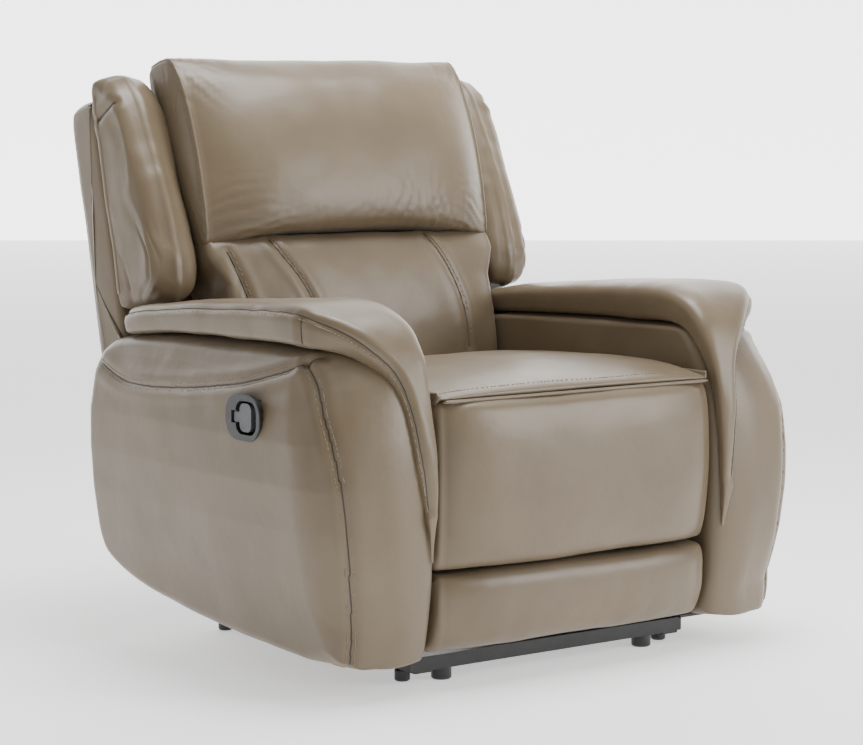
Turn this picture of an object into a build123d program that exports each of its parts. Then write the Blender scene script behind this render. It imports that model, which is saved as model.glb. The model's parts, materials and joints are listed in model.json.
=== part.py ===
"""Manual recliner armchair, in millimetres. +Z is up, the sitter faces -Y, and the origin is on the floor
at the middle of the chair's box. Left and right are the sight of someone who faces the chair: left is -X."""

import math
import os

from build123d import *

# ---------------------------------------------------------------- driving dimensions
ARM_IN, ARM_OUT = 300, 530          # inner face and widest outer face of an arm
ARM_BOTTOM, ARM_TOP = 50, 561       # underside, and top under the pad
PAD_OUT = 482                       # outer edge of the arm pad
FRONT_Y, REAR_Y = -475, 475         # foremost and rearmost faces
SEAT_HALF = 292                     # half width of the seat and footrest upholstery
STEEL = 3                           # sheet thickness of plates and links

BASE_PLATE_X = 284                  # inner face of the base side plates
RAIL_FRONT, RAIL_REAR = -388, 208   # ends of the base rails
FOOT_H = 18                         # height of the rail feet
BAR_Z0, BAR_Z1 = 21, 45             # underside and top of the front cross bar

SEAT_PLATE_X = 262                  # inner face of the sliding seat plates
LINK_A_X, LINK_B_X = 266, 269.5     # inner faces of the two planes that the links lie in
LINK_W = 20                         # link width
PIN_R, PIN_PLAY = 4.0, 0.08         # link pins, and their radial play

KNEE = (-462, 468)                  # (y, z) that the footrest turns about, on the knee seam
LINK_PIVOT = (-262, 372)            # (y, z) of the long link's pivot on the seat plate
FOOTREST_PIVOT = (-335, 275)        # (y, z) of the upper footrest pivot, closed
LINK_TAIL = 55                      # from the links' crossing to the long link's far pivot
LINK_STEP = 0.28                    # spacing of the two seat pivots, as a share of the upper link
ROLLER_Y, ROLLER_Z, ROLLER_R = 150, 340, 6
SEAT_TRAVEL = 25                    # how far the seat glides forward as the back reclines

BACK_PIVOT = (200, 330)             # (y, z) of the recline hinge
BACK_HINGE_R = 6
LEAN = 13.3                         # degrees that the back leans when upright
BACK_ORIGIN = (235, 500)            # (y, z) where the back's own axes start
BACK_HALF, WING_OUT = 318, 425      # half width of the head cushion, and of the wings
LUMBAR_HALF = 295                   # half width of the lumbar cushion, between the arms
SHELL_REAR = 144.8                    # rear face of the outer back, from the back's own origin

BOLT_R, BOLT_END = 4, 366           # arm bolts, a snug fit in their holes, and how far out they reach
SIDE_BOLTS = ((-65, 258), (135, 258))   # (y, z) of the bolts through each base side plate into an arm
UPRIGHT_BOLT = (390, -381)          # (x, y) of the bolt up through an outrigger into an arm

HANDLE = (-238, 440)                # (y, z) of the release handle's centre
HANDLE_FACE = 520                   # outer face of the handle's bezel


# ---------------------------------------------------------------- helpers
def box(x0, x1, y0, y1, z0, z1):
    """A box between two corners."""
    centre = Pos((x0 + x1) / 2, (y0 + y1) / 2, (z0 + z1) / 2)
    return centre * Box(x1 - x0, y1 - y0, z1 - z0)


def mirrored(shape):
    """The same shape on the other side of the chair."""
    return mirror(shape, about=Plane.YZ)


def both(shape):
    """The shape and its mirror image, as separate solids of one node."""
    return [shape, mirrored(shape)]


def side_prism(face, x0, x1):
    """Extrudes a face drawn in (y, z) from x0 to x1."""
    return extrude(Plane.YZ.offset(x0) * face, amount=x1 - x0)


def back_plane(x):
    """The plane of the leaning back at x, drawn in (n, t): n points backward through it and t up along it."""
    lean = math.radians(LEAN)
    return Plane(origin=(x, *BACK_ORIGIN), x_dir=(0, math.cos(lean), -math.sin(lean)), z_dir=(1, 0, 0))


def back_prism(face, x0, x1):
    """Extrudes a face drawn in the back's (n, t) from x0 to x1."""
    return extrude(back_plane(x0) * face, amount=x1 - x0)


def back_box(x0, x1, n0, n1, t0, t1):
    """A box in the leaning back's own axes."""
    return back_prism(polygon((n0, t0), (n1, t0), (n1, t1), (n0, t1)), x0, x1)


def polygon(*points):
    """A face with straight sides."""
    return make_face(Polyline(*points, close=True))


def outline(*pieces):
    """A face from a chain of two-point lines and three-point arcs."""
    edges = [Line(*p) if len(p) == 2 else ThreePointArc(*p) for p in pieces]
    return make_face(Curve() + edges)


def slot(y0, y1, z, half):
    """A round-ended slot in (y, z)."""
    return Pos((y0 + y1) / 2, z) * SlotOverall(abs(y1 - y0), 2 * half)


def x_cylinder(x0, x1, y, z, radius):
    """A cylinder along X."""
    return side_prism(Pos(y, z) * Circle(radius), x0, x1)


def z_cylinder(x, y, z0, z1, radius):
    """A cylinder along Z."""
    return Pos(x, y, (z0 + z1) / 2) * Cylinder(radius, z1 - z0)


def hex_bolt(x, y, z0, z1, radius, head):
    """A bolt that points up, with its hexagon head below."""
    shank = z_cylinder(x, y, z0, z1, radius)
    return shank + extrude(Pos(x, y, z0 - head) * RegularPolygon(radius * 1.9, 6), amount=head)


def side_bolt(x0, x1, y, z, radius, head):
    """A bolt along +X from x0 to x1, with its hexagon head inboard of x0."""
    head_face = Pos(y, z) * RegularPolygon(radius * 1.9, 6)
    return x_cylinder(x0, x1, y, z, radius) + side_prism(head_face, x0 - head, x0)


def save(name, shape):
    """Writes one node's STEP file."""
    if isinstance(shape, (list, tuple)):
        shape = Compound(children=[s for item in shape for s in item.solids()])
    export_step(shape, f"parts/{name}.step")


# ---------------------------------------------------------------- base
def base_side_plate():
    """Steel side plate on the floor rail, with two slots that the seat's rollers run in."""
    face = polygon(
        (RAIL_FRONT, FOOT_H), (RAIL_REAR, FOOT_H), (RAIL_REAR, 54), (180, 120), (180, 362),
        (-220, 362), (-220, 120), (-262, 54), (RAIL_FRONT, 54),
    )
    web = side_prism(face, BASE_PLATE_X, BASE_PLATE_X + STEEL)
    for y in (-ROLLER_Y, ROLLER_Y):
        run = slot(y + ROLLER_R + 1, y - SEAT_TRAVEL - ROLLER_R - 1, ROLLER_Z, ROLLER_R + 0.2)
        web -= side_prism(run, BASE_PLATE_X - 1, BASE_PLATE_X + STEEL + 1)
    for y, z in SIDE_BOLTS:
        web -= x_cylinder(BASE_PLATE_X - 1, ARM_IN, y, z, BOLT_R)
    flange = box(BASE_PLATE_X - 30, BASE_PLATE_X, RAIL_FRONT, RAIL_REAR, FOOT_H, FOOT_H + STEEL)
    return web + flange


def front_cross_bar():
    """Rectangular steel tube across the front, on top of the rail flanges and between the side plates."""
    half = BASE_PLATE_X
    outer = box(-half, half, RAIL_FRONT, RAIL_FRONT + 38, BAR_Z0, BAR_Z1)
    return outer - box(-half, half, RAIL_FRONT + 2, RAIL_FRONT + 36, BAR_Z0 + 2, BAR_Z1 - 2)


def rear_cross_tube():
    """Round tube between the side plates at the back."""
    radius = 12.5
    z = FOOT_H + STEEL + radius
    return x_cylinder(-BASE_PLATE_X, BASE_PLATE_X, 178, z, radius) - x_cylinder(
        -BASE_PLATE_X, BASE_PLATE_X, 178, z, radius - 2
    )


def foot(x, y, height, radius):
    """Moulded glide with a rounded rim."""
    body = z_cylinder(x, y, 0, height, radius)
    return chamfer(body.edges().group_by(Axis.Z)[0], 2.5)


def outrigger():
    """Flat steel arm that carries the front of an arm, bolted on top of the side plate's rail."""
    arm = box(BASE_PLATE_X + STEEL, 414, RAIL_FRONT - 8, RAIL_FRONT + 32, BAR_Z1, ARM_BOTTOM)
    return arm - z_cylinder(*UPRIGHT_BOLT, BAR_Z1 - 1, ARM_BOTTOM + 1, BOLT_R)


def outrigger_gusset():
    """Small angle that ties the outrigger to the side plate."""
    return box(BASE_PLATE_X + STEEL, BASE_PLATE_X + 12, RAIL_FRONT, RAIL_FRONT + 32, 22, BAR_Z1)


# ---------------------------------------------------------------- arms
def arm_side_face():
    """Side view of an arm's upholstery, below its pad."""
    front_low, front_mid, front_high = (-440, ARM_BOTTOM), (-471, 290), (-378, ARM_TOP)
    rear_low, rear_high = (283, 150), (283, 440)
    return outline(
        (front_low, (-150, 52)),
        ((-150, 52), (80, 85), rear_low),
        (rear_low, rear_high),
        (rear_high, (262, 500), (205, 535)),
        ((205, 535), (120, 552)),
        ((120, 552), front_high),
        (front_high, (-452, 450), front_mid),
        (front_mid, (-465, 165), front_low),
    )


def arm_front_face():
    """Front view of an arm's upholstery: the outer side swells in the middle."""
    return outline(
        ((ARM_IN, ARM_BOTTOM), (ARM_IN, ARM_TOP)),
        ((ARM_IN, ARM_TOP), (468, ARM_TOP)),
        ((468, ARM_TOP), (ARM_OUT, 335), (462, ARM_BOTTOM)),
        ((462, ARM_BOTTOM), (ARM_IN, ARM_BOTTOM)),
    )


def arm_upholstery():
    """Foam and leather of an arm, hollow inside for the timber frame and open underneath."""
    body = side_prism(arm_side_face(), ARM_IN, ARM_OUT)
    body &= extrude(Plane.XZ * arm_front_face(), amount=600, both=True)
    front = body.edges().filter_by(lambda e: e.center().X > 450 and e.center().Y < -400)
    body = fillet(front.filter_by(lambda e: e.length > 100), 20)
    body -= box(340, 440, -400, 240, 0, 500)
    for y, z in SIDE_BOLTS:
        body -= x_cylinder(ARM_IN - 1, 341, y, z, BOLT_R)
    return body


def arm_frame():
    """Timber frame inside an arm: two posts, three rails and a stretcher."""
    post = box(344, 436, -398, -364, ARM_BOTTOM, 495)
    stretcher = box(344, 372, -364, 200, 240, 276)
    for y, z in SIDE_BOLTS:
        stretcher -= x_cylinder(343, BOLT_END, y, z, BOLT_R)
    return [
        post - z_cylinder(*UPRIGHT_BOLT, ARM_BOTTOM - 1, 80, BOLT_R),
        stretcher,
        box(344, 436, 200, 236, 150, 495),
        box(344, 436, -364, 200, 463, 495),
        box(344, 436, -364, 20, 76, 112),
        box(372, 436, -60, -30, 112, 463),
    ]


def arm_pad():
    """Padded top of an arm, rounded over the front and along both edges."""
    face = outline(
        ((200, 537.5), (200, 584)),
        ((200, 584), (-80, 618), (-360, 634)),
        ((-360, 634), (-398, 610), (-410, 570)),
        ((-410, 570), (-378, ARM_TOP + 0.5)),
        ((-378, ARM_TOP + 0.5), (120, 552.5)),
        ((120, 552.5), (200, 537.5)),
    )
    body = side_prism(face, ARM_IN + 6, PAD_OUT)
    ends = body.faces().sort_by(Axis.X)
    edges = ends[0].edges() + ends[-1].edges()
    return fillet(edges.filter_by(lambda e: e.length > 300 and e.center().Z > 590), 14)


def arm_glides():
    """Plastic glides on the underside of each arm, clear of the floor."""
    discs = [z_cylinder(x, -310, ARM_BOTTOM - 12, ARM_BOTTOM, 16) for x in (-320, 320)]
    return [chamfer(d.edges().group_by(Axis.Z)[0], 2) for d in discs]


def arm_spacers():
    """Hardwood blocks between the base side plates and the arms."""
    made = []
    for y, z in SIDE_BOLTS:
        block = box(BASE_PLATE_X + STEEL, ARM_IN, y - 25, y + 25, z - 30, z + 30)
        made += both(block - x_cylinder(BASE_PLATE_X, ARM_IN + 1, y, z, BOLT_R))
    return made


def arm_bolts():
    """Bolts through the side plates and spacers into the arms' stretchers, and up into their front posts."""
    made = both(hex_bolt(*UPRIGHT_BOLT, BAR_Z1, 80, BOLT_R, 5))
    for y, z in SIDE_BOLTS:
        made += both(side_bolt(BASE_PLATE_X, BOLT_END, y, z, BOLT_R, 5))
    return made


# ---------------------------------------------------------------- release handle
def handle_outline(grow=0.0):
    """Oval of the handle's bezel."""
    return Pos(*HANDLE) * RectangleRounded(100 + 2 * grow, 76 + 2 * grow, 34 + grow)


def handle_recess():
    """Finger recess of the handle: a wide pocket in front and a slim one behind it for the paddle's neck."""
    y, z = HANDLE
    pocket = Pos(y - 10.5, z) * RectangleRounded(59, 54, 18)
    neck = Pos(y + 17.5, z) * Rectangle(28, 20)
    return pocket + neck


def handle_bezel():
    """Moulded bezel and cup of the release handle, on the outer side of the left arm."""
    flange = side_prism(handle_outline(), -HANDLE_FACE, -HANDLE_FACE + 5)
    cup = side_prism(Pos(*HANDLE) * RectangleRounded(88, 62, 26), -HANDLE_FACE + 5, -452)
    body = fillet(flange.faces().sort_by(Axis.X)[0].edges(), 1.5) + cup
    recess = side_prism(handle_recess(), -HANDLE_FACE - 1, -456)
    return body - recess


def paddle_axis():
    """(x, y) of the paddle's upright pin."""
    return -HANDLE_FACE + 7, HANDLE[0] + 26.5


def release_paddle():
    """Pull paddle: a round-nosed plate in front of a neck that turns on an upright pin."""
    x, y = paddle_axis()
    z = HANDLE[1]
    plate = side_prism(Pos(HANDLE[0] - 5, z) * RectangleRounded(34, 46, 12), x - 4, x + 4)
    neck = side_prism(Pos((HANDLE[0] + 8 + y) / 2, z) * Rectangle(y - HANDLE[0] - 8, 16), x - 4, x + 4)
    barrel = z_cylinder(x, y, z - 8, z + 8, 4)
    return plate + neck + barrel - z_cylinder(x, y, z - 10, z + 10, 1.6 + PIN_PLAY)


def paddle_pin():
    """Upright steel pin that the paddle turns on, held in the bezel."""
    x, y = paddle_axis()
    return z_cylinder(x, y, HANDLE[1] - 10, HANDLE[1] + 10, 1.6)


CABLE_END = (-300, -205, 300)       # where the release cable meets its clip
CABLE_ROUTE = [
    (-452, -228, 440), (-425, -228, 440), (-392, -223, 404), (-374, -214, 346), (-350, -205, 300), CABLE_END,
]
CABLE_D = 5


def release_cable():
    """Sheathed cable from the handle's cup through the arm to its clip on the base side plate."""
    points = [Vector(*p) for p in CABLE_ROUTE]
    runs = [(b - a).length for a, b in zip(points, points[1:])]
    turns = [(b - a).get_angle(c - b) for a, b, c in zip(points, points[1:], points[2:])]
    radii = [
        0.45 * min(one, two) / math.tan(math.radians(turn) / 2)
        for one, two, turn in zip(runs, runs[1:], turns)
    ]
    print("release cable radii", [round(r) for r in radii], "runs add up to", round(sum(runs)))
    path = FilletPolyline(*points, radius=radii)
    section = Plane(origin=path @ 0, z_dir=path % 0) * Circle(CABLE_D / 2)
    tube = sweep(section, path=path)
    print("cable volume", round(tube.volume), "section times length", round(section.area * path.length))
    return tube


def cable_clip():
    """Block that holds the cable's end on the left base side plate."""
    y, z = CABLE_END[1:]
    return box(-ARM_IN, -BASE_PLATE_X - STEEL, y - 9, y + 9, z - 10, z + 10)


TRIP_PIVOT = (-215, 245)            # (y, z) of the trip lever's pivot


def trip_lever():
    """Steel lever that the cable pulls, on the outer face of the left base side plate."""
    y, z = TRIP_PIVOT
    x1 = -BASE_PLATE_X - STEEL - 1
    bar = Pos(y, z) * Rot(0, 0, 62) * Pos(18, 0) * SlotOverall(52, 14)
    lever = side_prism(bar, x1 - STEEL, x1)
    return lever - x_cylinder(x1 - 10, x1 + 1, y, z, PIN_R + PIN_PLAY)


def trip_pin():
    """Shouldered pin of the trip lever."""
    y, z = TRIP_PIVOT
    x0 = -BASE_PLATE_X - STEEL
    head = x_cylinder(x0 - STEEL - 4, x0 - STEEL - 1.5, y, z, 7)
    return head + x_cylinder(x0 - STEEL - 1.5, x0, y, z, PIN_R)


# ---------------------------------------------------------------- seat
def seat_plate():
    """Sliding side plate that carries the seat, the footrest links and the back's hinge."""
    face = polygon((-292, 393), (-292, 352), (-190, 318), (170, 305), (232, 305), (232, 352), (150, 375), (100, 393))
    plate = side_prism(face, SEAT_PLATE_X, SEAT_PLATE_X + STEEL)
    pins = [p for p in (LINK_PIVOT, second_pivot())]
    for y, z in pins:
        plate -= x_cylinder(SEAT_PLATE_X - 1, SEAT_PLATE_X + STEEL + 1, y, z, PIN_R)
    for y in (-ROLLER_Y, ROLLER_Y):
        plate -= x_cylinder(SEAT_PLATE_X - 1, SEAT_PLATE_X + STEEL + 1, y, ROLLER_Z, 4)
    return plate - x_cylinder(SEAT_PLATE_X - 1, SEAT_PLATE_X + STEEL + 1, *BACK_PIVOT, BACK_HINGE_R)


def seat_rollers():
    """Flanged rollers on studs that run in the base side plates' slots."""
    made = []
    for y in (-ROLLER_Y, ROLLER_Y):
        stud = x_cylinder(SEAT_PLATE_X, SEAT_PLATE_X + STEEL, y, ROLLER_Z, 4)
        shank = x_cylinder(SEAT_PLATE_X + STEEL, BASE_PLATE_X - 1, y, ROLLER_Z, 9)
        roller = x_cylinder(BASE_PLATE_X - 1, BASE_PLATE_X + STEEL + 2, y, ROLLER_Z, ROLLER_R)
        made += both(stud + shank + roller)
    return made


def seat_frame():
    """Timber seat box: two side rails, a front rail, a rear rail and a centre stretcher."""
    side = box(240, SEAT_PLATE_X, -345, 125, 342, 393)
    front = box(-240, 240, -345, -320, 342, 393)
    rear = box(-240, 240, 100, 125, 342, 393)
    stretcher = box(-20, 20, -320, 100, 342, 360)
    return [side, mirrored(side), front, rear, stretcher]


def sinuous_spring(x):
    """One zigzag spring wire from the front rail to the rear rail, in a flat plane."""
    half, pitch, wire = 20, 26, 1.8
    y0, bends = -332, 16
    points = [(x, y0 - 8, 395.2)]
    for i in range(bends):
        sign = 1 if i % 2 else -1
        points += [(x + sign * half, y0 + pitch * i + 4, 395.2), (x + sign * half, y0 + pitch * (i + 1) - 4, 395.2)]
    points.append((x, y0 + pitch * bends + 8, 395.2))
    path = FilletPolyline(*points, radius=7)
    return sweep(Plane(origin=path @ 0, z_dir=path % 0) * Circle(wire), path=path)


def seat_springs():
    """Five zigzag springs side by side."""
    return [sinuous_spring(x) for x in (-196, -98, 0, 98, 196)]


def seat_insulator():
    """Felt pad between the springs and the cushion."""
    return box(-258, 258, -343, 80, 397.5, 400)


def seat_cushion():
    """Seat cushion, with a nose that laps over the top of the footrest pad down to the knee seam."""
    ky, kz = KNEE
    face = outline(
        ((-354, 400), (-354, kz + 1.5)),
        ((-354, kz + 1.5), (ky + 6, kz + 1.5)),
        ((ky + 6, kz + 1.5), (ky + 8, 480), (-430, 488)),
        ((-430, 488), (-180, 496), (82, 470)),
        ((82, 470), (82, 400)),
        ((82, 400), (-354, 400)),
    )
    body = side_prism(face, -SEAT_HALF, SEAT_HALF)
    ends = body.faces().sort_by(Axis.X)
    edges = ends[0].edges() + ends[-1].edges()
    return fillet(edges.filter_by(lambda e: e.length > 200 and e.center().Z > 450), 14)


# ---------------------------------------------------------------- footrest linkage
def minus(a, b):
    return a[0] - b[0], a[1] - b[1]


def plus(a, b, share=1.0):
    return a[0] + share * b[0], a[1] + share * b[1]


def linkage():
    """Pivots of the closed linkage in (y, z). Two parallelograms make the footrest turn about the knee seam."""
    arm = minus(FOOTREST_PIVOT, KNEE)
    upper = minus(KNEE, LINK_PIVOT)
    crossing = plus(LINK_PIVOT, arm)
    tail_share = LINK_TAIL / math.hypot(*arm)
    return {
        "crossing": crossing,
        "tail": plus(crossing, arm, tail_share),
        "rear": plus(crossing, upper, -LINK_STEP),
        "toe": plus(FOOTREST_PIVOT, arm, tail_share),
    }


def second_pivot():
    """(y, z) of the short link's pivot on the seat plate."""
    return plus(LINK_PIVOT, minus(KNEE, LINK_PIVOT), -LINK_STEP)


def link(a, b, x, holes):
    """A flat bar with round ends from a to b, with (pivot, radius) holes."""
    length = math.dist(a, b)
    angle = math.degrees(math.atan2(b[1] - a[1], b[0] - a[0]))
    middle = plus(a, minus(b, a), 0.5)
    bar = side_prism(Pos(*middle) * Rot(0, 0, angle) * SlotOverall(length + LINK_W, LINK_W), x, x + STEEL)
    for (y, z), radius in holes:
        bar -= x_cylinder(x - 1, x + STEEL + 1, y, z, radius)
    return bar


def footrest_links():
    """The four kinds of link, each as its right-hand solid. A link holds its own pins tight and turns on others."""
    p = linkage()
    tight, loose = PIN_R, PIN_R + PIN_PLAY
    return {
        "long_links": link(LINK_PIVOT, p["tail"], LINK_A_X,
                           [(LINK_PIVOT, loose), (p["crossing"], tight), (p["tail"], tight)]),
        "short_links": link(second_pivot(), p["rear"], LINK_A_X,
                            [(second_pivot(), loose), (p["rear"], tight)]),
        "upper_links": link(p["rear"], FOOTREST_PIVOT, LINK_B_X,
                            [(p["rear"], loose), (p["crossing"], loose), (FOOTREST_PIVOT, loose)]),
        "toe_links": link(p["tail"], p["toe"], LINK_B_X, [(p["tail"], loose), (p["toe"], loose)]),
    }


def rivet(pivot, x0, x1, head_x):
    """A link pin from x0 to x1 with a flat head outboard of head_x."""
    return x_cylinder(x0, head_x, *pivot, PIN_R) + x_cylinder(head_x, x1, *pivot, 7)


def link_pins():
    """Pins by node, each as right-hand solids."""
    p = linkage()
    a_end, b_end = LINK_A_X + STEEL + 0.3, LINK_B_X + STEEL + 0.3
    return {
        "seat_link_pins": [rivet(q, SEAT_PLATE_X, a_end + 2.5, a_end) for q in (LINK_PIVOT, second_pivot())],
        "long_link_pins": [rivet(p[k], LINK_A_X, b_end + 2.5, b_end) for k in ("crossing", "tail")],
        "short_link_pins": [rivet(p["rear"], LINK_A_X, b_end + 2.5, b_end)],
        "footrest_pins": [rivet(q, LINK_A_X, b_end + 2.5, b_end) for q in (FOOTREST_PIVOT, p["toe"])],
    }


# ---------------------------------------------------------------- footrest
BOARD_FRONT, BOARD_REAR = -372, -358


def footrest_board():
    """Plywood board behind the footrest's upholstery."""
    return box(-282, 282, BOARD_FRONT, BOARD_REAR, 78, 448)


def footrest_bracket():
    """Steel angle that joins the links to the board."""
    toe = linkage()["toe"]
    y, z = FOOTREST_PIVOT
    face = polygon((BOARD_REAR, 170), (toe[0] + 10, toe[1] - 12), (toe[0] + 12, toe[1] + 6), (y + 12, z + 8),
                   (y + 4, z + 16), (BOARD_REAR, 340))
    web = side_prism(face, LINK_A_X, LINK_A_X + STEEL)
    for pivot in (FOOTREST_PIVOT, toe):
        web -= x_cylinder(LINK_A_X - 1, LINK_A_X + STEEL + 1, *pivot, PIN_R)
    return web + box(LINK_A_X - 26, LINK_A_X, BOARD_REAR, BOARD_REAR + STEEL, 150, 400)


def bracket_screws():
    """Pan-head screws through the bracket flanges."""
    made = []
    for z in (175, 290, 380):
        head = Pos(LINK_A_X - 14, BOARD_REAR + STEEL + 1.5, z) * Rot(90, 0, 0) * Cylinder(5, 3)
        made += both(head)
    return made


def footrest_pad():
    """Upper upholstery of the footrest: the large panel below the knee seam."""
    ky, kz = KNEE
    face = outline(
        ((BOARD_FRONT, 192), (-452, 192)),
        ((-452, 192), (FRONT_Y, 340), (ky + 2, kz - 1)),
        ((ky + 2, kz - 1), (BOARD_FRONT, kz - 1)),
        ((BOARD_FRONT, kz - 1), (BOARD_FRONT, 192)),
    )
    body = side_prism(face, -SEAT_HALF + 2, SEAT_HALF - 2)
    ends = body.faces().sort_by(Axis.X)
    edges = ends[0].edges() + ends[-1].edges()
    return fillet(edges.filter_by(lambda e: e.center().Y < -460), 16)


def footrest_toe_pad():
    """Lower upholstery of the footrest, below the crease."""
    face = outline(
        ((BOARD_FRONT, 58), (-420, 57)),
        ((-420, 57), (-462, 100), (-452, 190)),
        ((-452, 190), (BOARD_FRONT, 190)),
        ((BOARD_FRONT, 190), (BOARD_FRONT, 58)),
    )
    body = side_prism(face, -SEAT_HALF + 2, SEAT_HALF - 2)
    ends = body.faces().sort_by(Axis.X)
    edges = ends[0].edges() + ends[-1].edges()
    return fillet(edges.filter_by(lambda e: e.center().Y < -440), 16)


# ---------------------------------------------------------------- back
def back_bracket():
    """Steel upright on the recline hinge, screwed to the back's timber frame."""
    y, z = BACK_PIVOT
    x0 = SEAT_PLATE_X - 1 - STEEL
    hub = x_cylinder(x0, x0 + STEEL, y, z, 20)
    blade = polygon((-12, -178), (20, -190), (70, -130), (70, 80), (36, 80), (32, -120))
    plate = hub + back_prism(blade, x0, x0 + STEEL)
    return plate - x_cylinder(x0 - 1, x0 + STEEL + 1, y, z, BACK_HINGE_R + PIN_PLAY)


def back_hinge_pins():
    """Shouldered hinge pins of the back, tight in the seat plates."""
    x0 = SEAT_PLATE_X - 1 - STEEL
    head = x_cylinder(x0 - 3.5, x0 - 0.5, *BACK_PIVOT, 10)
    return both(head + x_cylinder(x0 - 0.5, SEAT_PLATE_X + STEEL, *BACK_PIVOT, BACK_HINGE_R))


def back_frame():
    """Timber frame of the back: four uprights and three rails."""
    inner = back_box(230, 257, 30, 90, -150, 440)
    outer = back_box(372, 398, 50, 95, 90, 440)
    rails = [back_box(257, 372, 50, 80, t, t + 40) for t in (95, 240, 400)]
    centre = [back_box(-230, 230, 40, 70, t, t + 40) for t in (-145, 180, 400)]
    side = [inner, outer, *rails]
    return [s for b in side for s in both(b)] + centre


def back_webbing():
    """Elastic straps stapled across the front of the inner uprights."""
    return [back_box(-257, 257, 27, 29.5, t, t + 50) for t in (-100, -20, 60, 140, 220, 300, 380)]


def outer_back():
    """Upholstered panel across the rear of the back."""
    half = WING_OUT - 2
    panel = back_box(-half, half, 100, SHELL_REAR, -85, 452)
    rear = panel.faces().filter_by(lambda f: f.normal_at().Y > 0.9)[0].edges()
    return fillet(rear.filter_by(lambda e: e.center().Z > 500), 24)


def back_side():
    """Upholstered side band between a wing and the outer back."""
    return back_box(WING_OUT - 25, WING_OUT - 2, 48, 99.7, 86, 452)


def back_top_band():
    """Upholstered band that closes the top of the back, behind the head cushion."""
    return back_box(25 - WING_OUT, WING_OUT - 25, 48, 99.7, 442, 452)


def back_skirt():
    """Narrow panel that hangs below the outer back, between the arms."""
    return back_box(-268, 268, 104, 118, -285, -87)


def back_wing():
    """Padded wing beside the centre cushions."""
    face = outline(
        ((46, 84), (-50, 84)),
        ((-50, 84), (-86, 98), (-88, 140)),
        ((-88, 140), (-70, 290), (-34, 420)),
        ((-34, 420), (0, 500), (46, 498)),
        ((46, 498), (46, 84)),
    )
    return back_prism(face, BACK_HALF + 8, WING_OUT)


def lumbar_cushion():
    """Lower back cushion."""
    face = outline(
        ((26, -112), (-88, -112)),
        ((-88, -112), (-122, -96), (-128, -60)),
        ((-128, -60), (-138, 60), (-112, 192)),
        ((-112, 192), (26, 192)),
        ((26, 192), (26, -112)),
    )
    body = back_prism(face, -LUMBAR_HALF, LUMBAR_HALF)
    ends = body.faces().sort_by(Axis.X)
    edges = ends[0].edges() + ends[-1].edges()
    return fillet(edges.filter_by(lambda e: e.length > 150 and e.center().Y < 160), 20)


def head_cushion():
    """Pillow top of the back."""
    face = outline(
        ((26, 196), (-100, 196)),
        ((-100, 196), (-146, 214), (-150, 262)),
        ((-150, 262), (-142, 410), (-84, 512)),
        ((-84, 512), (-48, 533), (-10, 531)),
        ((-10, 531), (26, 522)),
        ((26, 522), (26, 196)),
    )
    body = back_prism(face, -BACK_HALF, BACK_HALF)
    ends = body.faces().sort_by(Axis.X)
    edges = ends[0].edges() + ends[-1].edges()
    return fillet(edges.filter_by(lambda e: e.length > 60 and e.center().Y < 330), 20)


# ---------------------------------------------------------------- assembly
def main():
    os.makedirs("parts", exist_ok=True)
    for side, flip in (("left", mirrored), ("right", lambda s: s)):
        save(f"base_side_plate_{side}", flip(base_side_plate()))
        save(f"seat_plate_{side}", flip(seat_plate()))
        save(f"footrest_bracket_{side}", flip(footrest_bracket()))
        save(f"back_bracket_{side}", flip(back_bracket()))
        save(f"back_wing_{side}", flip(back_wing()))
        save(f"back_side_{side}", flip(back_side()))
        save(f"arm_frame_{side}", [flip(s) for s in arm_frame()])
        save(f"arm_pad_{side}", flip(arm_pad()))
    save("arm_upholstery_right", arm_upholstery())
    left_arm = mirrored(arm_upholstery())
    left_arm -= side_prism(handle_outline(0.4), -HANDLE_FACE - 20, -439)
    left_arm -= x_cylinder(-342, -298, *CABLE_END[1:], 8)
    save("arm_upholstery_left", left_arm)
    save("front_cross_bar", front_cross_bar())
    save("rear_cross_tube", rear_cross_tube())
    save("front_feet", both(foot(219, RAIL_FRONT + 19, BAR_Z0, 17)))
    save("rail_feet", [s for y in (-345, 188) for s in both(foot(BASE_PLATE_X - 3, y, FOOT_H, 13))])
    save("outriggers", both(outrigger()) + both(outrigger_gusset()))
    save("arm_glides", arm_glides())
    save("arm_spacers", arm_spacers())
    save("arm_bolts", arm_bolts())
    save("handle_bezel", handle_bezel() - paddle_pin())
    save("release_paddle", release_paddle())
    save("paddle_pin", paddle_pin())
    save("release_cable", release_cable())
    save("cable_clip", cable_clip())
    save("trip_lever", trip_lever())
    save("trip_pin", trip_pin())
    save("seat_rollers", seat_rollers())
    save("seat_frame", seat_frame())
    save("seat_springs", seat_springs())
    save("seat_insulator", seat_insulator())
    save("seat_cushion", seat_cushion())
    for name, shape in footrest_links().items():
        save(name, both(shape))
    for name, pins in link_pins().items():
        save(name, [s for p in pins for s in both(p)])
    save("footrest_board", footrest_board())
    save("bracket_screws", bracket_screws())
    save("footrest_pad", footrest_pad())
    save("footrest_toe_pad", footrest_toe_pad())
    save("back_hinge_pins", back_hinge_pins())
    save("back_frame", back_frame())
    save("back_webbing", back_webbing())
    save("outer_back", outer_back())
    save("back_top_band", back_top_band())
    save("back_skirt", back_skirt())
    save("lumbar_cushion", lumbar_cushion())
    save("head_cushion", head_cushion())


main()
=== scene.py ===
"""Looks of the recliner armchair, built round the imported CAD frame. Metres, +Z up, the sitter faces -Y."""

import json
import math

import bmesh
import bpy
import numpy as np
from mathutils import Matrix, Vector, noise
from mathutils.bvhtree import BVHTree


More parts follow.
